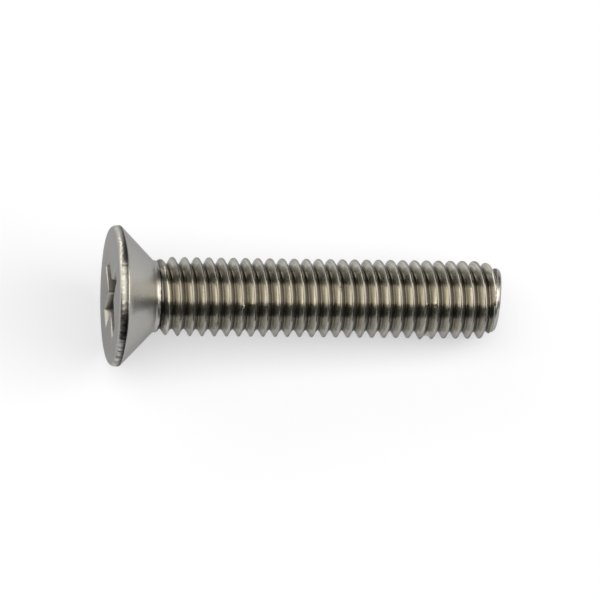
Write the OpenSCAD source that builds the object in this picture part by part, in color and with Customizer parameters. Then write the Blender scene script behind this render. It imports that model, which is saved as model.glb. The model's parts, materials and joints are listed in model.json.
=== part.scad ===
// Countersunk machine screw with a flat head, a cross recess and a thread rolled up to the neck.
// It is one cold-headed piece of stainless steel. Sizes are in millimetres.
// The screw is drawn upright, with its head's face at height 0 and its tip at height screw_len,
// and is then laid down on the rim of its head and on the last full crest of its thread.

/* [Head] */
// Diameter over the rim of the head
head_d = 14.14; // [13.6:0.02:15.8]
// Height of the rim's straight land, with its rounded edge
land_h = 0.95; // [0.7:0.05:1.2]
// Radius of the rounded edge between the face and the land
edge_r = 0.55; // [0.1:0.05:0.6]
// Angle between opposite sides of the cone under the head
cone_angle = 91.5; // [86:0.5:94]

/* [Neck] */
// Diameter of the neck, which is the blank's diameter before the thread is rolled
neck_d = 7.2; // [7.0:0.02:7.5]
// Radius of the fillet between the cone and the neck
neck_fillet = 0.6; // [0.3:0.1:1.2]
// Length from the end of the fillet to the start of the thread's grooves
neck_len = 0.05; // [0.05:0.05:2]

/* [Thread] */
// Length of the whole screw, with its head
screw_len = 40.1; // [20:0.05:60]
// Diameter over the crests
thread_d = 7.9; // [7.76:0.02:7.98]
// Distance between neighbouring crests
pitch = 1.25; // [1.2:0.05:1.5]
// Height of the thread from root to crest
thread_depth = 0.7; // [0.6:0.01:0.75]
// Angle between the two flanks of a groove
flank_angle = 60; // [50:1:64]
// Width of the flat on a crest
crest_w = 0.16; // [0.08:0.01:0.24]
// Height of the first crest above the neck
first_crest = 0.08; // [0.04:0.02:0.2]
// Length over which the crests come up to their full height
crest_run = 2.2; // [1:0.1:3]
// Length over which the grooves sink into the neck
groove_run = 0.7; // [0.5:0.1:2]
// Turn of the thread about the screw's axis
thread_turn = 16; // [-180:1:180]
// Straight steps in one turn of the thread
steps_per_turn = 24; // [18:2:30]

/* [Tip] */
// Length of the taper that leads into the tip
lead_len = 2.2; // [1.4:0.05:2.6]
// Loss of radius over that taper
lead_drop = 0.85; // [0.5:0.05:1.1]
// Lean of the cut end from square
end_lean = 10; // [0:0.5:12]
// Turn of that lean about the screw's axis
end_turn = -36; // [-180:1:180]

/* [Recess] */
// Length over two opposite wings at the face
recess_m = 8.7; // [8.2:0.1:9.4]
// Length over two opposite wings at their foot
recess_g = 5.08; // [4.8:0.02:5.4]
// Slope of a wing's end wall from the axis
wing_slope = 26.5; // [25:0.5:28]
// Width of a wing at its foot
wing_w = 1.23; // [1.1:0.01:1.4]
// Slope of a wing's side wall from the axis
wing_draft = 8; // [4:0.5:9]
// Diameter of the recess between the wings at the face
core_d = 3.6; // [3.4:0.1:4.6]
// Slope of the wall between the wings from the axis
core_slope = 7; // [4:0.5:9]
// Full angle of the point at the bottom of the recess
point_angle = 138; // [130:1:146]
// Turn of the recess about the screw's axis
recess_turn = -7; // [-45:1:45]

/* [Hidden] */
$fn = 64;
steel = [0.66, 0.65, 0.63];

head_r = head_d / 2;
neck_r = neck_d / 2;
crest_r = thread_d / 2;
root_r = crest_r - thread_depth;

// the cone runs from the end of the land to the neck
cone_end = land_h + (head_r - neck_r) / tan(cone_angle / 2);
fillet_reach = neck_fillet * tan(cone_angle / 4);
thread_from = cone_end + fillet_reach + neck_len;

// widths of one tooth along the axis
flank_w = thread_depth * tan(flank_angle / 2);
tooth_foot_w = 2 * flank_w + crest_w;

// the helix is drawn too long at both ends and then trimmed
spare_turns = 2;
helix_from = thread_from - spare_turns * pitch;
helix_turns = ceil((screw_len - helix_from) / pitch) + spare_turns;
helix_steps = helix_turns * steps_per_turn;
// unturned, a crest crosses the side at 90 degrees at a whole number of pitches from the face
crest_shift = -pitch * (thread_turn + 90) / 360;
helix_start = pitch * floor(helix_from / pitch) + crest_shift - tooth_foot_w / 2;

// radius that the taper has on the long side of the leaning end
lead_slope = lead_drop / lead_len;
long_side_r = (crest_r - lead_drop) / (1 + lead_slope * tan(end_lean));

// spare room of the trimming shapes, and depth at which the neck's core ends below the roots
slack = 0.5;
root_cover = 0.1;
arc_steps = 8;

// radius of the thread's crests at a height above the face
function crest_r_at(h) = crest_r - lead_slope * max(0, h - screw_len + lead_len);

// the screw lies on the cone's edge of the land and on the crest that comes lowest
low_crest = helix_start + tooth_foot_w / 2 + crest_w / 2;
crest_count = floor((screw_len - low_crest) / pitch);
lie_angle = atan(min([
    for (n = [ceil(crest_count / 2) : crest_count])
        (head_r - crest_r_at(low_crest + n * pitch)) / (low_crest + n * pitch - land_h)
]));

// ends of the lying screw along the floor, measured from the middle of its face
lie_from = edge_r * cos(lie_angle) - (head_r - edge_r) * sin(lie_angle) - edge_r;
lie_to = screw_len * cos(lie_angle) + long_side_r * norm([
    cos(end_turn) * tan(end_lean) * cos(lie_angle),
    sin(end_turn) * tan(end_lean) * cos(lie_angle) + sin(lie_angle)
]);
lie_height = head_r * cos(lie_angle) + land_h * sin(lie_angle);

// corners of one tooth as radius and height, from the foot of its first flank to the foot of its second
tooth = [
    [root_r, 0],
    [crest_r, flank_w],
    [crest_r, flank_w + crest_w],
    [root_r, tooth_foot_w]
];

function helix_corner(step, corner) =
    let (turn = 360 * step / steps_per_turn)
    let (rise = helix_start + pitch * step / steps_per_turn)
    [corner[0] * cos(turn), corner[0] * sin(turn), rise + corner[1]];

// number of a corner of the tooth in the list of points
function at(step, corner) = 4 * step + corner;

// two triangles between a corner at one step and a corner at another, and at the steps after them
function band(step, corner, far_step, far_corner) = [
    [at(step, corner), at(far_step + 1, far_corner), at(step + 1, corner)],
    [at(step, corner), at(far_step, far_corner), at(far_step + 1, far_corner)]
];

// thread with its core, as one closed body
module helix() {
    points = [for (step = [0 : helix_steps]) for (corner = tooth) helix_corner(step, corner)];
    foot = len(points);
    top = foot + 1;
    last = helix_steps;
    turn = steps_per_turn;
    ends = [
        [0, 0, helix_start - pitch],
        [0, 0, helix_start + pitch * (helix_turns + 2)]
    ];
    flanks = [for (step = [0 : last - 1]) for (c = [0 : 2]) each band(step, c, step, c + 1)];
    roots = [for (step = [0 : last - turn - 1]) each band(step, 3, step + turn, 0)];
    foot_ring = concat(
        [for (step = [0 : turn]) at(step, 0)],
        [at(0, 3), at(0, 2), at(0, 1)]
    );
    top_ring = concat(
        [for (step = [last - turn : last]) at(step, 3)],
        [at(last, 2), at(last, 1), at(last, 0)]
    );
    foot_cap = [
        for (i = [0 : len(foot_ring) - 1])
            [foot, foot_ring[i], foot_ring[(i + 1) % len(foot_ring)]]
    ];
    top_cap = [
        for (i = [0 : len(top_ring) - 1])
            [top, top_ring[(i + 1) % len(top_ring)], top_ring[i]]
    ];
    polyhedron(concat(points, ends), concat(flanks, roots, foot_cap, top_cap), convexity = 10);
}

// room in which the crests come up out of the neck
module crest_room() {
    first_r = neck_r + first_crest;
    rise = (crest_r - first_r) / crest_run;
    room_r = crest_r + slack;
    rotate_extrude()
        polygon([
            [0, thread_from - slack],
            [first_r, thread_from - slack],
            [room_r, thread_from - slack + (room_r - first_r) / rise],
            [room_r, screw_len + crest_r],
            [0, screw_len + crest_r]
        ]);
}

// waste around the tip, measured from the middle of its cut end
module taper_waste() {
    waste_r = crest_r + 2 * slack;
    waste_h = 2 * slack + crest_r * tan(end_lean);
    rotate_extrude()
        polygon([
            [crest_r - lead_drop - lead_slope * waste_h, waste_h],
            [waste_r, -lead_len - (waste_r - crest_r) / lead_slope],
            [waste_r, waste_h]
        ]);
}

// waste beyond the cut end
module end_waste() {
    waste_r = 2 * crest_r;
    rotate([0, 0, end_turn])
        rotate([end_lean, 0, 0])
            cylinder(h = waste_r, r = waste_r);
}

module thread() {
    difference() {
        intersection() {
            helix();
            crest_room();
        }
        translate([0, 0, screw_len]) {
            taper_waste();
            end_waste();
        }
    }
}

// points along an arc, as radius and height
function arc(middle, arc_r, from, to) = [
    for (i = [0 : arc_steps])
        let (turn = from + (to - from) * i / arc_steps)
        middle + arc_r * [cos(turn), sin(turn)]
];

// head, neck and the part of the core in which the thread's grooves fade out
module head() {
    edge_middle = [head_r - edge_r, edge_r];
    fillet_middle = [neck_r + neck_fillet, cone_end + fillet_reach];
    rotate_extrude()
        polygon(concat(
            [[0, 0]],
            arc(edge_middle, edge_r, -90, 0),
            [[head_r, land_h]],
            arc(fillet_middle, neck_fillet, 180 + cone_angle / 2, 180),
            [
                [neck_r, thread_from],
                [root_r - root_cover, thread_from + groove_run],
                [0, thread_from + groove_run]
            ]
        ));
}

// one straight slot of the cross, with sloping ends and sides
module recess_bar() {
    foot_h = (recess_m - recess_g) / 2 / tan(wing_slope);
    point_h = recess_g / 2 / tan(point_angle / 2);
    over_m = recess_m / 2 + slack * tan(wing_slope);
    depth = foot_h + point_h;
    top_w = wing_w / 2 + (foot_h + slack) * tan(wing_draft);
    low_w = wing_w / 2 - point_h * tan(wing_draft);
    intersection() {
        rotate([90, 0, 0])
            linear_extrude(recess_m, center = true)
                polygon([
                    [-over_m, -slack],
                    [over_m, -slack],
                    [recess_g / 2, foot_h],
                    [0, depth],
                    [-recess_g / 2, foot_h]
                ]);
        rotate([90, 0, 90])
            linear_extrude(2 * recess_m, center = true)
                polygon([
                    [-top_w, -slack],
                    [top_w, -slack],
                    [low_w, depth],
                    [-low_w, depth]
                ]);
    }
}

module recess() {
    foot_h = (recess_m - recess_g) / 2 / tan(wing_slope);
    rotate([0, 0, recess_turn]) {
        recess_bar();
        rotate([0, 0, 90])
            recess_bar();
        translate([0, 0, -slack])
            cylinder(
                h = foot_h + slack,
                r1 = core_d / 2 + slack * tan(core_slope),
                r2 = core_d / 2 - foot_h * tan(core_slope)
            );
    }
}

// the screw upright, on the middle of its face
module upright_screw() {
    difference() {
        union() {
            head();
            thread();
        }
        recess();
    }
}

module screw() {
    color(steel)
        translate([-(lie_from + lie_to) / 2, 0, lie_height])
            rotate([0, 90 + lie_angle, 0])
                upright_screw();
}

screw();
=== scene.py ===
# %% [markdown]
# # A countersunk machine screw
#
# The screw is one piece of stainless steel. A length of wire was upset into a head in a die, the cross was
# pressed into it by a punch, and the thread was rolled between two dies. So there is one mesh to make, and
# nearly all of the likeness lies in three things: the form of the thread, the finish of bare steel, and the
# light that the steel mirrors.
#
# The imported solid gives the place and the size. This file adds what a solid of straight steps can't show:
# rounded crests and roots, a thread that fades into the neck, knocks and scuffs, and the steel itself, with
# some light and shade painted into its colour.

# %% Load the frame
import json
import math

import bmesh
import bpy
import numpy as np
from mathutils import Matrix, Vector


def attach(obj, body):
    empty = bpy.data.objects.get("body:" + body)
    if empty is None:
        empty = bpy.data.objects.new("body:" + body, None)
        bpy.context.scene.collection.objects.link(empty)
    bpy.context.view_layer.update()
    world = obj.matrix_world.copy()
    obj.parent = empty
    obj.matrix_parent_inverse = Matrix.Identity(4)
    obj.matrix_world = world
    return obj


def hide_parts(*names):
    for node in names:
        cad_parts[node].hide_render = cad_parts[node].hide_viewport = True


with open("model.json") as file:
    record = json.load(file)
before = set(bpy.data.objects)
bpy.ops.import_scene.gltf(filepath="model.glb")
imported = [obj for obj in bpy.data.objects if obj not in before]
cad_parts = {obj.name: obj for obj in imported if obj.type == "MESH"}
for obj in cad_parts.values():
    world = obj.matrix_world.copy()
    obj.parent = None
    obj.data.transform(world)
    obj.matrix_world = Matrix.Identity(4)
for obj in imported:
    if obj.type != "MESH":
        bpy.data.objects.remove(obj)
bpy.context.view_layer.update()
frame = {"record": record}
mounts = {mount["name"]: mount for mount in frame["record"]["mounts"]}

# %% [markdown]
# ## The screw's own frame
#
# The screw lies on the rim of its head and on its thread, so its axis leans a little. It is far easier to draw
# it upright and to lay the finished mesh down. The record says where the middle of the head's face is and
# which way the axis runs. Those two make a matrix: in its frame the height runs from the face to the tip, and
# all lengths are millimetres.

# %% Work out the frame of the screw from the record
MM = 0.001
face_middle = Vector(mounts["cross_recess"]["pos_m"])
tip_middle = Vector(mounts["thread"]["pos_m"])
axis = (tip_middle - face_middle).normalized()
sideways = Vector((0, 1, 0))
downward = sideways.cross(axis)
lay_down = Matrix.Translation(face_middle) @ Matrix((downward, sideways, axis)).transposed().to_4x4()
lay_down = lay_down @ Matrix.Scale(MM, 4)
screw_len = (tip_middle - face_middle).length / MM
print(f"length from face to tip {screw_len:.2f} mm, axis {[round(c, 4) for c in axis]}")

# %% [markdown]
# ## Sizes of the screw
#
# These are the sizes that the solid has, as radii and as heights above the face. A thread this size has a
# pitch of 1.25 mm and flanks at 60 degrees. The blank's radius, 3.6 mm, is also the thread's middle radius,
# because rolling pushes as much steel up into the crests as it presses out of the roots.

# %% Sizes in millimetres
head_r = 7.07
land_h = 0.95
edge_r = 0.55
cone_half = math.radians(45.75)
cone_slope = math.tan(cone_half)
blank_r = 3.6
cone_end = land_h + (head_r - blank_r) / cone_slope

pitch = 1.25
crest_r = 3.95
root_r = 3.25
thread_turn = math.radians(16)
groove_from = cone_end + 0.28
groove_run = 0.35
crest_from = cone_end + 0.07
crest_run = 1.6
lead_len = 2.2
end_lean = math.radians(10)
end_turn = math.radians(-36)
end_r = 2.65
end_edge_r = 0.65
print(f"cone ends at {cone_end:.2f} mm, grooves start at {groove_from:.2f} mm")

# %% [markdown]
# ## The form of the thread
#
# A thread can be made with the Screw modifier, which sweeps one profile round the axis. That gives a perfect
# thread from end to end, and a rolled one isn't perfect: its crests climb out of the neck, its grooves sink
# into it, and the tip tapers. So the surface is written as one formula instead: the radius at any angle and
# height. Each limit of the formula meets the next in a small round, as rolled steel does.

# %% Write the limits of the thread
neck_round = 0.2
tip_curve = 1.6
tip_height_loss = 0.7
tip_drop = 0.2
past_edge_slope = 4


def soft_min(a, b, blend):
    """The lower of two values, rounded off where they are nearer to each other than blend."""
    near = np.maximum(blend - np.abs(a - b), 0) / blend
    return np.minimum(a, b) - near**2 * blend / 4


def soft_max(a, b, blend):
    """The higher of two values, rounded off in the same way."""
    return -soft_min(-a, -b, blend)


def fade_into_neck(radius, height):
    """Flattens the thread towards the neck. The grooves start there at once, the crests climb slowly."""
    climb = np.clip((height - crest_from) / crest_run, 0, 1)
    sink = np.clip((height - groove_from) / groove_run, 0, 1)
    lift = radius - blank_r
    cone = head_r - (height - land_h) * cone_slope
    return soft_max(blank_r + lift * np.where(lift > 0, climb, sink), cone, neck_round)


def shrink_at_tip(radius, height):
    """Makes the thread lower and thinner towards the tip, where the blank was chamfered."""
    share = np.clip((height - screw_len + lead_len) / lead_len, 0, 1) ** tip_curve
    return root_r + (radius - root_r) * (1 - tip_height_loss * share) - tip_drop * share


def cut_end_height(angle, radius):
    """Height of the cut end, which leans a little from square."""
    return screw_len + radius * np.sin(angle - end_turn) * math.tan(end_lean)


def edge_limit(from_end):
    """Radius that the rounded edge of the cut end keeps to, by the distance from that end."""
    left = end_edge_r - np.clip(from_end, 0, end_edge_r)
    past_edge = np.clip(from_end - end_edge_r, 0, None)
    return end_r + np.sqrt(end_edge_r**2 - left**2) + past_edge * past_edge_slope


edge_mm = (float(edge_limit(np.float64(0))), float(edge_limit(np.float64(end_edge_r))))
print(f"rounded edge of the cut end: radius {edge_mm[0]:.2f} to {edge_mm[1]:.2f} mm")

# %% [markdown]
# ## Knocks and the whole formula
#
# Screws knock against each other in their box, and in one groove near the tip the rolled steel looks torn. Each
# such place is a small raised hump, given by its bearing round the axis, its height above the face, its size
# and its lift. Drawing them in the mesh, and not as bump, keeps them on the outline and in the model's
# geometry.

# %% Write the screw's radius as a formula
# flanks at 60 degrees fall by this much for each millimetre along the axis
flank_slope = math.sqrt(3)
flank_drop = 0.06
over_crest = 0.02
under_root = 0.02
crest_round = 0.05
root_round = 0.4
end_round = 0.1
# bearing in degrees, then height, size and lift in millimetres
scars = (
    (297, 32.5, 0.5, 0.42),
    (286, 32.35, 0.25, 0.2),
    (234, 31.8, 0.15, 0.2),
    (214, 31.8, 0.15, 0.16),
    (219, 13.0, 0.16, 0.24),
    (193, 22.9, 0.15, 0.2),
    (250, 10.55, 0.2, 0.22),
)


def scar_height(angle, height):
    """Steel that knocks and a torn spot in one groove have raised."""
    raised = np.zeros_like(height)
    for bearing, at, size, lift in scars:
        aside = (angle - math.radians(bearing) + math.pi) % (2 * math.pi) - math.pi
        raised += lift * np.exp(-((height - at) ** 2 + (blank_r * aside) ** 2) / size**2)
    return raised


def screw_radius(angle, height):
    """Radius of the screw below its head at an angle and a height."""
    crest = pitch * (angle - thread_turn - math.pi / 2) / (2 * math.pi)
    off_crest = np.abs((height - crest + pitch / 2) % pitch - pitch / 2)
    flank = blank_r - flank_drop + (pitch / 4 - off_crest) * flank_slope
    radius = soft_min(flank, np.full_like(flank, crest_r + over_crest), crest_round)
    radius = soft_max(radius, np.full_like(flank, root_r - under_root), root_round)
    radius = shrink_at_tip(fade_into_neck(radius, height), height) + scar_height(angle, height)
    return soft_min(radius, edge_limit(cut_end_height(angle, end_r) - height), end_round)


probe = np.linspace(20, 20 + pitch, 400)
probed = screw_radius(np.zeros_like(probe), probe)
print(f"thread between radius {probed.min():.3f} and {probed.max():.3f} mm")

# %% [markdown]
# ## The mesh of the shank
#
# A formula can be sampled on any grid. A plain grid of rings would cut across the thread at a slight angle and
# leave its crests jagged. So the rows of this grid climb with the helix: each row stays on one line of the
# thread, and after a full turn it joins the row one pitch further on. Samples lie close together on the crests
# and in the roots, where the form bends, and far apart on the straight flanks. At both ends the rows are held
# to a plain ring, where the points that fall together are merged.

# %% Sample the formula along the helix
COLUMNS = 144
spare_turns = 3
shank_from = cone_end - 0.35
# distances from a crest, up to the middle of the groove beside it
bends = (0, 0.05, 0.08, 0.16, 0.29, 0.4, 0.47, 0.53, 0.59)
row_steps = np.array([*bends, *(pitch - b for b in reversed(bends[1:]))])
rows_per_turn = len(row_steps)
turns = math.ceil((screw_len - shank_from) / pitch) + spare_turns
angles = 2 * math.pi * np.arange(COLUMNS) / COLUMNS
first_crest = pitch * math.floor((shank_from - 2 * pitch) / pitch)
row_starts = first_crest + np.concatenate([turn * pitch + row_steps for turn in range(turns)])
row_starts = row_starts - pitch * (thread_turn + math.pi / 2) / (2 * math.pi)

grid_angle = np.broadcast_to(angles, (len(row_starts), COLUMNS))
grid_height = row_starts[:, None] + pitch * grid_angle / (2 * math.pi)
grid_height = np.clip(grid_height, shank_from, cut_end_height(grid_angle, end_r))
grid_radius = screw_radius(grid_angle, grid_height)
grid_x = grid_radius * np.cos(grid_angle)
grid_y = grid_radius * np.sin(grid_angle)
print(f"shank grid: {len(row_starts)} rows of {COLUMNS} points")

# %% [markdown]
# ## From grid to faces
#
# Faces are plain sums on the grid's row and column numbers. The cut end is closed by rings that dish in a
# little, because rolling draws the skin of the wire further than its core.

# %% Build the shank
MERGE_MM = 1e-4
end_dish = 0.12
end_rings = (0.96, 0.9, 0.75, 0.5, 0.25)
shank = bmesh.new()
grid = np.stack([grid_x, grid_y, grid_height], axis=-1)
verts = [[shank.verts.new(point) for point in row] for row in grid]
for row in range(len(verts) - 1):
    for column in range(COLUMNS):
        next_row, next_column = (row, column + 1) if column + 1 < COLUMNS else (row + rows_per_turn, 0)
        if next_row + 1 < len(verts):
            near, far = verts[row : row + 2], verts[next_row : next_row + 2]
            shank.faces.new((near[0][column], far[0][next_column], far[1][next_column], near[1][column]))

ring = [(end_r * math.cos(a), end_r * math.sin(a), a) for a in angles]
inner = [shank.verts.new((x, y, cut_end_height(a, end_r))) for x, y, a in ring]
for share in end_rings:
    outer, inner = inner, []
    for x, y, a in ring:
        sunk = cut_end_height(a, share * end_r) - end_dish * (1 - share**2)
        inner.append(shank.verts.new((share * x, share * y, sunk)))
    for column in range(COLUMNS):
        shank.faces.new((outer[column - 1], outer[column], inner[column], inner[column - 1]))
shank.faces.new(inner)
bmesh.ops.remove_doubles(shank, verts=shank.verts, dist=MERGE_MM)
bmesh.ops.delete(shank, geom=[v for v in shank.verts if not v.link_faces], context="VERTS")
open_edges = sum(edge.is_boundary for edge in shank.edges)
print(f"shank: {len(shank.faces)} faces, {open_edges} open edges at the neck")

# %% [markdown]
# ## The outline of the head
#
# The head is a turned form: one outline, swept round the axis. It has a face that dishes in a little towards
# the recess, a rounded edge, the land of the rim and the cone down to the first ring of the shank. The next
# step cuts a hollow into it, and that needs a closed body. So the outline goes on into a plug inside the neck,
# which is deeper than the recess and is taken away again when head and shank are joined.

# %% Draw the outline of the head
land_edge_r = 0.12
dish_r = 5.6
dish_depth = 0.24
dish_curve = 1.2
face_from = 0.2
plug_r = 2.5
plug_depth = 5.2


def arc(middle, radius, start, stop, steps):
    """Points on an arc as radius and height, with angles in degrees."""
    turns_of_arc = np.radians(np.linspace(start, stop, steps + 1))
    return [(middle[0] + radius * math.cos(t), middle[1] + radius * math.sin(t)) for t in turns_of_arc]


land_end = land_h - land_edge_r * math.tan(cone_half / 2)
outline = [(r, dish_depth * (1 - r / dish_r) ** dish_curve) for r in np.linspace(face_from, dish_r, 9)]
outline += arc((head_r - edge_r, edge_r), edge_r, -90, 0, 8)
outline += [(head_r, h) for h in np.linspace(edge_r, land_end, 8)[1:-1]]
outline += arc((head_r - land_edge_r, land_end), land_edge_r, 0, 90 - math.degrees(cone_half), 4)
cone_top = outline[-1]
cone_foot = (float(screw_radius(np.zeros(1), np.full(1, shank_from))[0]), shank_from)
for share in np.linspace(0, 1, 16)[1:]:
    outline.append(tuple(a + share * (b - a) for a, b in zip(cone_top, cone_foot)))
outline.append((plug_r, plug_depth))
print(f"head: {len(outline)} points in its outline, cone foot at radius {cone_foot[0]:.2f} mm")

# %% [markdown]
# ## The blank of the head
#
# Sweeping the outline is the work of a lathe. In bmesh it is one ring of points for each point of the outline
# and a band of faces between neighbouring rings. The rings have as many points as a row of the shank, so that
# the two meet point for point.

# %% Build the blank of the head
head = bmesh.new()
rings = [[head.verts.new((r * math.cos(a), r * math.sin(a), h)) for a in angles] for r, h in outline]
for upper, lower in zip(rings, rings[1:]):
    for column in range(COLUMNS):
        head.faces.new((upper[column - 1], upper[column], lower[column], lower[column - 1]))
head.faces.new(rings[0])
head.faces.new(rings[-1][::-1])
bmesh.ops.recalc_face_normals(head, faces=head.faces)
print(f"head blank: {len(head.faces)} faces")

# %% [markdown]
# ## The punch for the cross recess
#
# A punch pressed the cross into the head, so its walls lean outwards and it ends in a blunt point. The punch is
# two crossed bars and a round core. Each is built as a stack of outlines that widen towards the face, with a
# last flare where the steel rolled over at the edge. The bars end a little inside the core's point, because
# faces of two bodies that lie in one plane are what a Boolean handles worst.

# %% Shape the punch
recess_turn = math.radians(-7)
wing_reach = 4.35
wing_reach_foot = 2.54
wing_half = 1.12
wing_half_foot = 0.615
core_half = 1.75
core_half_foot = 1.3
foot_depth = 3.63
point_depth = 4.6
core_point = 0.25
bar_point = 0.2
bar_short = 0.1
roll_over = 0.25
above_face = 0.4


def punch_part(name, levels, sides, turn):
    """A closed body of stacked outlines. Each level is a depth with its half length and half width."""
    body = bmesh.new()
    loops = []
    for depth, half_length, half_width in levels:
        loop = []
        for side in range(sides):
            bearing = 2 * math.pi * (side + 0.5) / sides
            x, y = math.cos(bearing), math.sin(bearing)
            if sides == 4:
                x, y = math.copysign(1, x), math.copysign(1, y)
            loop.append(body.verts.new((half_length * x, half_width * y, depth)))
        loops.append(loop)
    for upper, lower in zip(loops, loops[1:]):
        for side in range(sides):
            body.faces.new((upper[side - 1], upper[side], lower[side], lower[side - 1]))
    body.faces.new(loops[0])
    body.faces.new(loops[-1][::-1])
    bmesh.ops.recalc_face_normals(body, faces=body.faces)
    bmesh.ops.rotate(body, verts=body.verts, matrix=Matrix.Rotation(turn, 3, "Z"))
    mesh = bpy.data.meshes.new(name)
    body.to_mesh(mesh)
    body.free()
    part = bpy.data.objects.new(name, mesh)
    bpy.context.scene.collection.objects.link(part)
    return part


def drafted(depth, at_face, at_foot):
    """Half width of a drafted wall at a depth, with the steel rolled over at the face."""
    rolled_in = roll_over - min(max(depth, 0), roll_over)
    flare = roll_over - math.sqrt(roll_over**2 - rolled_in**2)
    return at_face + (at_foot - at_face) * depth / foot_depth + flare


depths = [-above_face, *(share * roll_over for share in (0, 0.07, 0.2, 0.4, 0.7, 1)), foot_depth]
bar_levels = [
    (d, drafted(d, wing_reach, wing_reach_foot), drafted(d, wing_half, wing_half_foot)) for d in depths
]
bar_levels.append((point_depth - bar_short, bar_point, bar_point))
core_levels = [(d, *[drafted(d, core_half, core_half_foot)] * 2) for d in depths]
core_levels.append((point_depth, core_point, core_point))
punch = [
    punch_part("core", core_levels, 48, recess_turn),
    punch_part("bar_across", bar_levels, 4, recess_turn),
    punch_part("bar_along", bar_levels, 4, recess_turn + math.pi / 2),
]
print(f"punch: {len(punch)} parts, {point_depth} mm deep")

# %% [markdown]
# ## Pressing the recess
#
# The hollow could be modelled face by face, but where the bars meet the core the edges are awkward to work
# out. A Boolean modifier for each part of the punch finds them. The exact solver is the slower one, and it
# leaves clean edges. The result is kept as a mesh, and the punch goes.

# %% Press the recess into the head
head_mesh = bpy.data.meshes.new("head_blank")
head.to_mesh(head_mesh)
blank = bpy.data.objects.new("head_blank", head_mesh)
bpy.context.scene.collection.objects.link(blank)
for part in punch:
    cut = blank.modifiers.new(part.name, "BOOLEAN")
    cut.operation = "DIFFERENCE"
    cut.solver = "EXACT"
    cut.object = part
bpy.context.view_layer.update()
pressed = bpy.data.meshes.new_from_object(blank.evaluated_get(bpy.context.evaluated_depsgraph_get()))
for part in (*punch, blank):
    bpy.data.objects.remove(part)
print(f"pressed head: {len(pressed.polygons)} faces")

# %% [markdown]
# ## Join head and shank
#
# The head's plug goes, and the two rings that are left lie on each other point for point, so merging them
# makes one closed skin. A closed skin matters: the model can then be printed, weighed or cut again. The last
# line counts the edges that don't join two faces, and for a closed skin that count is 0.

# %% Make one closed mesh
plug_margin = 0.1
screw_mesh = bpy.data.meshes.new("screw_body")
whole = bmesh.new()
whole.from_mesh(pressed)
below_cone = [v for v in whole.verts if v.co.z > shank_from - MERGE_MM]
plug_points = {v for v in below_cone if v.co.xy.length > plug_r - plug_margin}
plug = [f for f in whole.faces if plug_points.issuperset(f.verts)]
bmesh.ops.delete(whole, geom=plug, context="FACES")
shank_mesh = bpy.data.meshes.new("shank")
shank.to_mesh(shank_mesh)
whole.from_mesh(shank_mesh)
bmesh.ops.remove_doubles(whole, verts=whole.verts, dist=MERGE_MM)
bmesh.ops.delete(whole, geom=[v for v in whole.verts if not v.link_faces], context="VERTS")
bmesh.ops.recalc_face_normals(whole, faces=whole.faces)
open_edges = sum(not edge.is_manifold for edge in whole.edges)
whole.to_mesh(screw_mesh)
for spent in (head, shank, whole):
    spent.free()
triangles = sum(len(f.vertices) - 2 for f in screw_mesh.polygons)
print(f"screw: {triangles} triangles, {open_edges} edges that don't join two faces")

# %% [markdown]
# ## Where the steel's pattern lies
#
# Marks on a screw follow how it was made: along the axis, or wound round it with the thread. Before the mesh is
# laid down, each point keeps its upright place, in millimetres, and each corner of a face keeps its wound
# place: the way round the blank, the height less the climb of the thread, and the radius. The materials read
# these attributes, so the pattern stays on the steel however the screw lies.

# %% Keep the upright and the wound places
def keep_vectors(name, domain, vectors):
    """Stores one vector for each point or corner under a name that a material can read."""
    attribute = screw_mesh.attributes.new(name, "FLOAT_VECTOR", domain)
    attribute.data.foreach_set("vector", np.asarray(vectors, np.float32).ravel())


upright = np.empty(len(screw_mesh.vertices) * 3, np.float32)
screw_mesh.vertices.foreach_get("co", upright)
upright = upright.reshape(-1, 3)
corner_points = np.empty(len(screw_mesh.loops), np.int32)
screw_mesh.loops.foreach_get("vertex_index", corner_points)
corner_x, corner_y, corner_height = upright[corner_points].T
corner_turn = np.arctan2(corner_y, corner_x) / (2 * math.pi) % 1
for face in screw_mesh.polygons:
    corners = slice(face.loop_start, face.loop_start + face.loop_total)
    if np.ptp(corner_turn[corners]) > 0.5:
        corner_turn[corners] += corner_turn[corners] < 0.5
corner_round = corner_turn * 2 * math.pi * blank_r
corner_climb = corner_height - pitch * corner_turn
corner_radius = np.hypot(corner_x, corner_y)
keep_vectors("wound_mm", "CORNER", np.stack([corner_round, corner_climb, corner_radius], axis=1))
keep_vectors("upright_mm", "POINT", upright)
keep_vectors("along", "POINT", np.tile(np.array(axis), (len(upright), 1)))
print(f"attributes on {len(upright)} points and {len(corner_points)} corners")

# %% [markdown]
# ## Lay the screw down
#
# The matrix from the start brings the mesh to where the solid lies. Shading is smooth, apart from edges that
# bend by more than 32 degrees, such as those inside the recess.

# %% Place the screw where the solid lies
sharp_angle = math.radians(32)
screw_mesh.transform(lay_down)
screw_mesh.shade_smooth()
screw_mesh.set_sharp_from_angle(angle=sharp_angle)
screw = bpy.data.objects.new("screw_body", screw_mesh)
bpy.context.scene.collection.objects.link(screw)
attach(screw, "root")
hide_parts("screw")
print("screw laid down, lowest point", round(min(v.co.z for v in screw_mesh.vertices) / MM, 3), "mm")

# %% [markdown]
# ## Bare stainless steel
#
# The screw is A2 stainless steel with no coating, and its surface was made in two ways. The head was upset
# against a die, which leaves it dull and even. The thread was rolled, which burnishes it. A metal has no
# colour of its own beyond the tint of its mirror image, so the base colour is that tint, with some light and
# shade painted into it, and the roughness does the rest. Image textures could carry the marks, but nodes keep
# them sharp at any distance.

# %% Helpers for materials
def linear(hex_colour):
    """Linear red, green, blue and alpha of an sRGB hex colour."""
    parts = [int(hex_colour[i : i + 2], 16) / 255 for i in (1, 3, 5)]
    return (*(p / 12.92 if p <= 0.04045 else ((p + 0.055) / 1.055) ** 2.4 for p in parts), 1.0)


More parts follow.
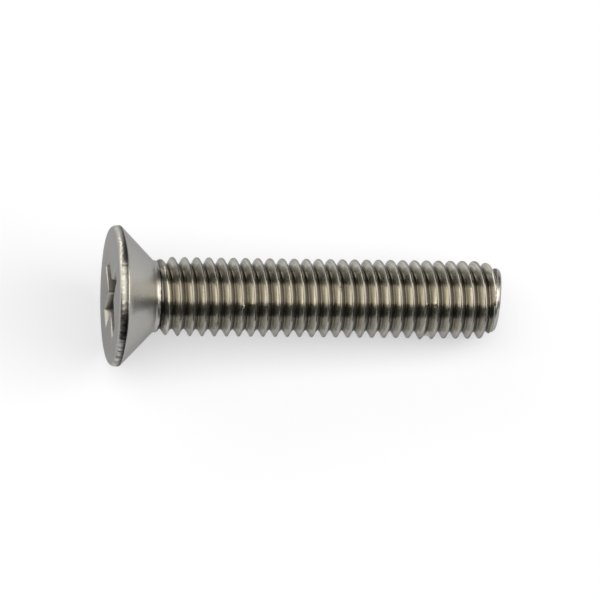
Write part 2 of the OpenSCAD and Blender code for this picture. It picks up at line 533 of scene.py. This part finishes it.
def add_node(tree, kind, sockets=None, **settings):
    """Adds a node. Settings are its own, and sockets take a value or another node's output."""
    node = tree.nodes.new(kind)
    for name, value in settings.items():
        setattr(node, name, value)
    for name, value in (sockets or {}).items():
        if isinstance(value, bpy.types.NodeSocket):
            tree.links.new(value, node.inputs[name])
        else:
            node.inputs[name].default_value = value
    return node


def new_material(name):
    """A material with an empty tree and its output node."""
    material = bpy.data.materials.new(name)
    material.use_nodes = True
    material.node_tree.nodes.clear()
    return material, material.node_tree, add_node(material.node_tree, "ShaderNodeOutputMaterial")


print("mid grey in linear light:", round(linear("#808080")[0], 3))

# %% [markdown]
# ## The headed steel: grain and hatching
#
# A die prints its own fine grain on the head, and the land of the rim shows slanting lines. Such grain is a few
# hundredths of a millimetre. It is drawn at 0.25 mm, and the lines at five to the millimetre, because anything
# finer is lost in the render.

# %% Start the headed steel
grain_mm = 0.25
hatch_per_mm = (5, 1.2, 0.1)
hatch_slant = math.radians(35)
headed, tree, out = new_material("stainless_steel_a2_cold_headed")
upright_at = add_node(tree, "ShaderNodeAttribute", attribute_name="upright_mm")
wound_at = add_node(tree, "ShaderNodeAttribute", attribute_name="wound_mm")
upright_split = add_node(tree, "ShaderNodeSeparateXYZ", {0: upright_at.outputs["Vector"]})
wound_split = add_node(tree, "ShaderNodeSeparateXYZ", {0: wound_at.outputs["Vector"]})
height_mm = upright_split.outputs["Z"]
round_mm = wound_split.outputs["X"]
radius_mm = wound_split.outputs["Z"]
grain = add_node(tree, "ShaderNodeTexNoise", {
    "Vector": upright_at.outputs["Vector"], "Scale": 1 / grain_mm, "Detail": 4.0,
})
grain_shade = add_node(tree, "ShaderNodeMapRange", {
    "Value": grain.outputs[0], "From Min": 0.3, "From Max": 0.7, "To Min": 0.97, "To Max": 1.03,
})
slant = add_node(tree, "ShaderNodeMapping", {
    "Vector": wound_at.outputs["Vector"], "Rotation": (0, 0, hatch_slant), "Scale": hatch_per_mm,
})
hatch = add_node(tree, "ShaderNodeTexNoise", {"Vector": slant.outputs[0], "Scale": 1.0, "Detail": 3.0})
hatch_shade = add_node(tree, "ShaderNodeMapRange", {
    "Value": hatch.outputs[0], "From Min": 0.4, "From Max": 0.6, "To Min": 0.84, "To Max": 1.26,
})
print(f"grain {grain_mm} mm, {hatch_per_mm[0]} hatch lines per mm")

# %% [markdown]
# ## The headed steel: painted light and shade on the rim
#
# Near the face the land is painted bright, as a highlight, and towards the cone it is painted dull, as shade,
# with a ragged border between the two. One patch of it is painted nearly black, as shade, with hatched scuff
# lines in it. Both borders are made ragged in the same way: some of the hatching is added to the distance
# before it is turned into a shade.

# %% Paint light and shade on the rim
# near the face the land is painted bright as a highlight, towards the cone dark as shade
rim_painted_highlight = 1.45
rim_painted_dark = 0.27
# one patch is painted nearly black as shade, with hatched scuff lines in it
scuff_and_shade_middle = 15.4
on_land = add_node(tree, "ShaderNodeMapRange", {
    "Value": height_mm, "From Min": land_h - 0.04, "From Max": land_h - 0.1,
})
on_rim = add_node(tree, "ShaderNodeMapRange", {
    "Value": radius_mm, "From Min": head_r - 0.25, "From Max": head_r - 0.05, "To Max": on_land.outputs[0],
})
ragged = add_node(tree, "ShaderNodeMath", {
    0: hatch.outputs[0], 1: 0.5, 2: height_mm,
}, operation="MULTIPLY_ADD")
# painted highlight and painted shade on the land, with a ragged border between them
rim_highlight_and_shade = add_node(tree, "ShaderNodeMapRange", {
    "Value": ragged.outputs[0], "From Min": 0.66, "From Max": 1.0, "To Min": rim_painted_highlight, "To Max": rim_painted_dark,
})
from_scuff_and_shade = add_node(tree, "ShaderNodeMath", {0: round_mm, 1: scuff_and_shade_middle}, operation="SUBTRACT")
from_scuff_and_shade = add_node(tree, "ShaderNodeMath", {0: from_scuff_and_shade.outputs[0]}, operation="ABSOLUTE")
scuff_and_shade_edge = add_node(tree, "ShaderNodeMath", {
    0: hatch.outputs[0], 1: 0.6, 2: from_scuff_and_shade.outputs[0],
}, operation="MULTIPLY_ADD")
scuff_lines_and_shade = add_node(tree, "ShaderNodeMapRange", {
    "Value": hatch.outputs[0], "From Min": 0.42, "From Max": 0.58, "To Min": 0.22, "To Max": 0.62,
})
scuff_and_painted_shade = add_node(tree, "ShaderNodeMapRange", {
    "Value": scuff_and_shade_edge.outputs[0], "From Min": 1.3, "From Max": 3.0,
    "To Min": scuff_lines_and_shade.outputs[0], "To Max": 1.0,
})
for factor in (scuff_and_painted_shade, hatch_shade):
    rim_highlight_and_shade = add_node(tree, "ShaderNodeMath", {
        0: rim_highlight_and_shade.outputs[0], 1: factor.outputs[0],
    }, operation="MULTIPLY")
rim_shade = add_node(tree, "ShaderNodeMapRange", {
    "Value": on_rim.outputs[0], "To Min": 1.0, "To Max": rim_highlight_and_shade.outputs[0],
})
print(f"rim: shade {rim_painted_highlight} to {rim_painted_dark}, scuffed patch {scuff_and_shade_middle} mm round the blank")

# %% [markdown]
# ## The headed steel: painted shade on face and recess, and a painted reflection
#
# The face is painted a little darker than the cone, as shade. The depth of the recess is painted dark, as
# shade, and one streak on the cone is painted dark, as a reflection. They may be stains or only reflections,
# which can't be told apart in one picture. Drawn as a tint, they stay dark in any light. The recess is picked
# out by a number: the sum of radius and height is near 8 mm all over the cone, and less than 6.5 mm inside the
# recess. The painted reflection is kept off the rim and out of the recess by such numbers, but not off the cut
# end, where it leaves a dark wedge. An upper limit on the height would remove it.

# %% Paint shade on the face and the recess, and a dark reflection on the cone
# a streak on the cone is painted dark, as a reflection
dark_reflection_middle = 13.45
# the depth of the recess is painted dark, as shade
recess_painted_dark = 0.45
dark_reflection_level = 0.58
# the face is painted a little darker, as shade
face_painted_shade = add_node(tree, "ShaderNodeMapRange", {
    "Value": height_mm, "From Min": 0.1, "From Max": 0.4, "To Min": 0.91, "To Max": 1.0,
})
reach = add_node(tree, "ShaderNodeMath", {0: radius_mm, 1: height_mm}, operation="ADD")
inside = add_node(tree, "ShaderNodeMapRange", {
    "Value": reach.outputs[0], "From Min": 7.0, "From Max": 6.5,
})
in_recess = add_node(tree, "ShaderNodeMapRange", {
    "Value": height_mm, "From Min": 0.3, "From Max": 0.65, "To Max": inside.outputs[0],
})
# painted shade in the depth of the recess
recess_painted_shade = add_node(tree, "ShaderNodeMapRange", {
    "Value": in_recess.outputs[0], "To Min": 1.0, "To Max": recess_painted_dark,
})
# the streak on the cone is painted dark, as a reflection; it also darkens a wedge of the cut end
from_dark_reflection = add_node(tree, "ShaderNodeMath", {0: round_mm, 1: dark_reflection_middle}, operation="SUBTRACT")
from_dark_reflection = add_node(tree, "ShaderNodeMath", {0: from_dark_reflection.outputs[0]}, operation="ABSOLUTE")
from_dark_reflection = add_node(tree, "ShaderNodeMath", {
    0: grain.outputs[0], 1: 0.5, 2: from_dark_reflection.outputs[0],
}, operation="MULTIPLY_ADD")
dark_reflection_shade = add_node(tree, "ShaderNodeMapRange", {
    "Value": from_dark_reflection.outputs[0], "From Min": 0.4, "From Max": 0.85, "To Min": dark_reflection_level, "To Max": 1.0,
})
on_cone = add_node(tree, "ShaderNodeMapRange", {
    "Value": height_mm, "From Min": land_h + 0.2, "From Max": land_h + 0.6,
})
on_cone = add_node(tree, "ShaderNodeMapRange", {
    "Value": inside.outputs[0], "To Min": on_cone.outputs[0], "To Max": 0.0,
})
cone_painted_reflection = add_node(tree, "ShaderNodeMapRange", {
    "Value": on_cone.outputs[0], "To Min": 1.0, "To Max": dark_reflection_shade.outputs[0],
})
print(f"recess shade {recess_painted_dark}, painted cone reflection {dark_reflection_level}, {dark_reflection_middle} mm round the blank")

# %% [markdown]
# ## The headed steel: its shader
#
# The shades are multiplied together and tint the steel. A roughness of about 0.3 blurs what the head mirrors
# into soft patches, and the grain makes it vary. The hatching is pressed into the land as bump, and long faint
# waves, 1.4 mm across, keep the cone's reflections from being ruled straight. Specular Tint is what a metal
# shows at its edges, and a grey there keeps them from glaring.

# %% Finish the headed steel
waves_per_mm = 0.7
hatch_depth_mm = 0.05
waves_depth_mm = 0.02
shade = grain_shade
for factor in (rim_shade, face_painted_shade, recess_painted_shade, cone_painted_reflection):
    shade = add_node(tree, "ShaderNodeMath", {
        0: shade.outputs[0], 1: factor.outputs[0],
    }, operation="MULTIPLY")
tinted = add_node(tree, "ShaderNodeVectorMath", {
    0: linear("#AAA9A5")[:3], 1: shade.outputs[0],
}, operation="MULTIPLY")
grain_rough = add_node(tree, "ShaderNodeMapRange", {
    "Value": grain.outputs[0], "From Min": 0.3, "From Max": 0.7, "To Min": 0.34, "To Max": 0.28,
})
hatched = add_node(tree, "ShaderNodeBump", {
    "Height": hatch.outputs[0], "Distance": hatch_depth_mm * MM, "Strength": on_rim.outputs[0],
})
waves = add_node(tree, "ShaderNodeTexNoise", {
    "Vector": upright_at.outputs["Vector"], "Scale": waves_per_mm, "Detail": 1.0,
})
relief = add_node(tree, "ShaderNodeBump", {
    "Height": waves.outputs[0],
    "Distance": waves_depth_mm * MM,
    "Strength": 1.0,
    "Normal": hatched.outputs["Normal"],
})
shader = add_node(tree, "ShaderNodeBsdfPrincipled", {
    "Base Color": tinted.outputs[0],
    "Metallic": 1.0,
    "Roughness": grain_rough.outputs[0],
    "Specular Tint": linear("#C8C8C8"),
    "Normal": relief.outputs["Normal"],
})
tree.links.new(shader.outputs["BSDF"], out.inputs["Surface"])
print(f"{headed.name}: {len(tree.nodes)} nodes")

# %% [markdown]
# ## The rolled steel: painted light and shade, and streaks
#
# A colour ramp over the radius paints light and shade into the thread: the flanks are painted bright, as a
# highlight, the crests a little duller, and the roots dark and a little brown, as shade in the grooves. The
# dies also slide a little, which draws streaks along the thread. Real ones are finer than a tenth of a
# millimetre. They are drawn six to the millimetre across the thread and nearly 3 mm long, so that they show.

# %% Start the rolled steel
streak_per_mm = (0.35, 6, 6)
# share of the way from root to crest, and the painted tint there: shade in the roots, a highlight on the flanks
painted_thread_tints = ((0.05, "#67635A"), (0.3, "#B0ADA4"), (0.8, "#C4C1B8"), (1.0, "#9A9893"))
rolled, tree, out = new_material("stainless_steel_a2_thread_rolled")
upright_at = add_node(tree, "ShaderNodeAttribute", attribute_name="upright_mm")
wound_at = add_node(tree, "ShaderNodeAttribute", attribute_name="wound_mm")
upright_split = add_node(tree, "ShaderNodeSeparateXYZ", {0: upright_at.outputs["Vector"]})
wound_split = add_node(tree, "ShaderNodeSeparateXYZ", {0: wound_at.outputs["Vector"]})
rise = add_node(tree, "ShaderNodeMapRange", {
    "Value": wound_split.outputs["Z"], "From Min": root_r, "From Max": crest_r,
})
# the ramp paints the roots dark as shade and the flanks bright as a highlight
tint = add_node(tree, "ShaderNodeValToRGB", {0: rise.outputs["Result"]})
stops = tint.color_ramp.elements
stops.remove(stops[0])
stops[0].color = linear(painted_thread_tints[-1][1])
for position, colour in painted_thread_tints[:-1]:
    stops.new(position).color = linear(colour)
drawn_out = add_node(tree, "ShaderNodeVectorMath", {
    0: wound_at.outputs["Vector"], 1: streak_per_mm,
}, operation="MULTIPLY")
streak = add_node(tree, "ShaderNodeTexNoise", {"Vector": drawn_out.outputs[0], "Scale": 1.0, "Detail": 3.0})
streak_shade = add_node(tree, "ShaderNodeMapRange", {
    "Value": streak.outputs[0], "From Min": 0.3, "From Max": 0.7, "To Min": 0.78, "To Max": 1.18,
})
print("ramp stops at", [round(stop.position, 2) for stop in stops])

# %% [markdown]
# ## The rolled steel: its shader
#
# The first groove beside the neck is painted dark, as shade between the head and the thread. That too may be
# a stain or a reflection, and it is drawn as a tint. Streaks stretch a reflection across themselves, which is
# what Anisotropic does, with the axis as its tangent. The rolled surface is also made uneven by about a
# hundredth of a millimetre, so that its highlights waver.

# %% Finish the rolled steel
uneven_per_mm = (1.4, 2.6, 2.6)
uneven_depth_mm = 0.014
# the first groove by the neck is painted dark, as shade
first_groove_painted_shade = 0.3
neck_painted_shade = add_node(tree, "ShaderNodeMapRange", {
    "Value": upright_split.outputs["Z"], "From Min": cone_end + 0.4, "From Max": cone_end + 1.3,
    "To Min": first_groove_painted_shade, "To Max": 1.0,
})
shade = add_node(tree, "ShaderNodeMath", {
    0: streak_shade.outputs[0], 1: neck_painted_shade.outputs[0],
}, operation="MULTIPLY")
tinted = add_node(tree, "ShaderNodeVectorMath", {
    0: tint.outputs["Color"], 1: shade.outputs[0],
}, operation="MULTIPLY")
streak_rough = add_node(tree, "ShaderNodeMapRange", {
    "Value": streak.outputs[0], "From Min": 0.3, "From Max": 0.7, "To Min": 0.34, "To Max": 0.18,
})
uneven_at = add_node(tree, "ShaderNodeVectorMath", {
    0: wound_at.outputs["Vector"], 1: uneven_per_mm,
}, operation="MULTIPLY")
uneven = add_node(tree, "ShaderNodeTexNoise", {"Vector": uneven_at.outputs[0], "Scale": 1.0, "Detail": 2.0})
relief = add_node(tree, "ShaderNodeBump", {
    "Height": uneven.outputs[0], "Distance": uneven_depth_mm * MM, "Strength": 1.0,
})
along_axis = add_node(tree, "ShaderNodeAttribute", attribute_name="along")
shader = add_node(tree, "ShaderNodeBsdfPrincipled", {
    "Base Color": tinted.outputs[0],
    "Metallic": 1.0,
    "Roughness": streak_rough.outputs[0],
    "Specular Tint": linear("#C2C2C2"),
    "Anisotropic": 0.5,
    "Tangent": along_axis.outputs["Vector"],
    "Normal": relief.outputs["Normal"],
})
tree.links.new(shader.outputs["BSDF"], out.inputs["Surface"])
print(f"{rolled.name}: {len(tree.nodes)} nodes")

# %% [markdown]
# ## Which steel is where
#
# The rolled finish starts just past the end of the cone. At the other end the cut face and its edge take the
# plain finish of the head, because the dies don't touch them. Each face of the mesh has the number of its
# material, so the choice is made face by face, from the upright places.

# %% Give each face its finish
rolled_from = cone_end + 0.3
plain_end = 0.5
for finish in (headed, rolled):
    screw_mesh.materials.append(finish)
face_middles = np.array([upright[list(f.vertices)].mean(axis=0) for f in screw_mesh.polygons])
face_x, face_y, face_height = face_middles.T
from_end = cut_end_height(np.arctan2(face_y, face_x), np.hypot(face_x, face_y)) - face_height
is_rolled = (face_height > rolled_from) & (from_end > plain_end)
screw_mesh.polygons.foreach_set("material_index", is_rolled.astype(np.int32))
print(f"{is_rolled.sum()} rolled faces, {(~is_rolled).sum()} headed faces")

# %% [markdown]
# ## Floor
#
# The screw lies on white card, wide enough that its edges stay out of the picture. To the camera and to the
# steel a share of the card glows, which makes it white without more light on the screw. The rest is plain
# paper, which keeps the shadow. The rounded crests reach 0.06 mm lower than the solid does, so the card lies
# that much lower too.

# %% Lay out the floor
floor_half = 0.6
floor_low = -0.06 * MM
glow_share = 0.45
floor_mesh = bpy.data.meshes.new("white_card")
floor_corners = [(x, y, floor_low) for y in (-floor_half, floor_half) for x in (-floor_half, floor_half)]
floor_mesh.from_pydata(floor_corners, [], [(0, 1, 3, 2)])
floor = bpy.data.objects.new("white_card", floor_mesh)
bpy.context.scene.collection.objects.link(floor)
card, tree, out = new_material("white_card")
paper = add_node(tree, "ShaderNodeBsdfPrincipled", {"Base Color": linear("#E7EDFA"), "Roughness": 0.9})
white = add_node(tree, "ShaderNodeEmission", {"Color": linear("#FFFFFF"), "Strength": 1.0})
ray = add_node(tree, "ShaderNodeLightPath")
seen = ray.outputs["Is Camera Ray"]
for kind in ("Is Glossy Ray", "Is Transmission Ray"):
    either = add_node(tree, "ShaderNodeMath", {0: seen, 1: ray.outputs[kind]}, operation="MAXIMUM")
    seen = either.outputs[0]
glow = add_node(tree, "ShaderNodeMath", {0: seen, 1: glow_share}, operation="MULTIPLY")
mixed = add_node(tree, "ShaderNodeMixShader", {
    0: glow.outputs[0], 1: paper.outputs["BSDF"], 2: white.outputs["Emission"],
})
tree.links.new(mixed.outputs["Shader"], out.inputs["Surface"])
floor_mesh.materials.append(card)
print(f"floor: {2 * floor_half} m square, {floor_low / MM:.2f} mm high")

# %% [markdown]
# ## A dark flag
#
# Steel in an all-white room looks like paper. Photographers therefore stand dark cards, called flags, where the
# metal mirrors them. This one is low and runs along the front of the screw, where it hides the floor beyond
# from the steel. Its image makes the dark bands along the thread. It is as dark as the room, and like the lamps
# it is hidden from the camera. It is hidden from the floor too and casts no shadow.

# %% Stand up the flag
room_grey = linear("#404040")
flag_front = 0.042
flag_top = 0.016
flag_mesh = bpy.data.meshes.new("dark_flag")
flag_corners = [(x, -flag_front, z) for z in (floor_low, flag_top) for x in (-floor_half, floor_half)]
flag_mesh.from_pydata(flag_corners, [], [(0, 1, 3, 2)])
flag = bpy.data.objects.new("dark_flag", flag_mesh)
flag.visible_camera = False
flag.visible_diffuse = False
flag.visible_shadow = False
bpy.context.scene.collection.objects.link(flag)
felt, tree, out = new_material("dark_felt")
dark = add_node(tree, "ShaderNodeEmission", {"Color": room_grey, "Strength": 1.0})
tree.links.new(dark.outputs["Emission"], out.inputs["Surface"])
flag_mesh.materials.append(felt)
print(f"flag: {flag_top / MM:.0f} mm high, {flag_front / MM:.0f} mm in front of the screw's middle")

# %% [markdown]
# ## Light
#
# Bare metal is lit by what it mirrors, so the lamps are large soft boxes, and where they stand decides which
# flanks and edges are bright. One hangs overhead, two are on the right, one is on the left and two are behind.
# A lamp's power says little about how bright a mirror shows it. So each box is given its radiance, which does
# say that, and its power follows from the radiance and the size. The room around the boxes is dark grey.

# %% Hang the soft boxes
warm_white = "#FFF8EC"
plain_white = "#FFFFFF"
# name, middle and target in metres, width and height, radiance, colour
soft_boxes = (
    ("overhead_box", (-0.23, -0.15, 0.6), (-0.23, -0.15, 0), (1.44, 0.82), 1.7, warm_white),
    ("right_box", (0.87, -0.25, 0.6), (0.87, -0.25, 0), (0.76, 1.02), 4.4, warm_white),
    ("right_card", (0.95, 0.1, 0.2), (0, 0.1, 0.2), (0.5, 0.36), 2.7, warm_white),
    ("left_box", (-0.9, 0.3, 0.3), (0, 0, 0), (0.7, 0.6), 1.8, warm_white),
    ("back_left_box", (-0.44, 0.82, 0.4), (0, 0, 0), (0.86, 0.5), 1.9, warm_white),
    ("back_card", (0.1, 1.0, 0.17), (0.1, 0, 0.17), (1.4, 0.36), 0.45, plain_white),
)
for name, middle, target, size, radiance, colour in soft_boxes:
    lamp = bpy.data.lights.new(name, "AREA")
    lamp.shape = "RECTANGLE"
    lamp.size, lamp.size_y = size
    lamp.energy = radiance * math.pi * size[0] * size[1]
    lamp.color = linear(colour)[:3]
    holder = bpy.data.objects.new(name, lamp)
    holder.location = middle
    holder.rotation_euler = (Vector(target) - Vector(middle)).to_track_quat("-Z", "Y").to_euler()
    holder.visible_camera = False
    bpy.context.scene.collection.objects.link(holder)

world = bpy.data.worlds.new("dark_room")
world.use_nodes = True
world.node_tree.nodes["Background"].inputs["Color"].default_value = room_grey
bpy.context.scene.world = world
bpy.context.scene.view_settings.view_transform = "Standard"
print(f"{len(soft_boxes)} soft boxes in a dark room")

# %% [markdown]
# ## Camera
#
# The camera looks steeply down on the front of the screw, and from a little towards the head, so that the face
# shows as a thin ellipse. Its directions are built from the screw's own axis: first square to the axis, then
# leaned towards the head, then rolled in the picture. A long lens from 350 mm away leaves a slight perspective,
# which draws the head about 2% larger than the tip.

# %% Aim the camera
axis_turn = math.radians(11.5)
camera_round = math.radians(26)
image_roll = math.radians(0.65)
camera_distance = 350 * MM
focal_px = 3460
image_px = 600
aim_along = 19.44 * MM
aim_below = 0.2076 * MM
toward = -downward * math.cos(camera_round) - sideways * math.sin(camera_round)
to_camera = toward * math.cos(axis_turn) - axis * math.sin(axis_turn)
level_right = axis * math.cos(axis_turn) + toward * math.sin(axis_turn)
level_up = to_camera.cross(level_right)
right = level_right * math.cos(image_roll) + level_up * math.sin(image_roll)
up = level_up * math.cos(image_roll) - level_right * math.sin(image_roll)
eye = face_middle + axis * aim_along + to_camera * camera_distance - up * aim_below
camera_data = bpy.data.cameras.new("camera")
camera_data.sensor_width = 36
camera_data.lens = focal_px / image_px * camera_data.sensor_width
camera_data.clip_start = 0.01
camera = bpy.data.objects.new("camera", camera_data)
camera.matrix_world = Matrix.Translation(eye) @ Matrix((right, up, to_camera)).transposed().to_4x4()
bpy.context.scene.collection.objects.link(camera)
bpy.context.scene.camera = camera
print(f"camera with a lens of {camera_data.lens:.0f} mm at {[round(c, 3) for c in eye]}")
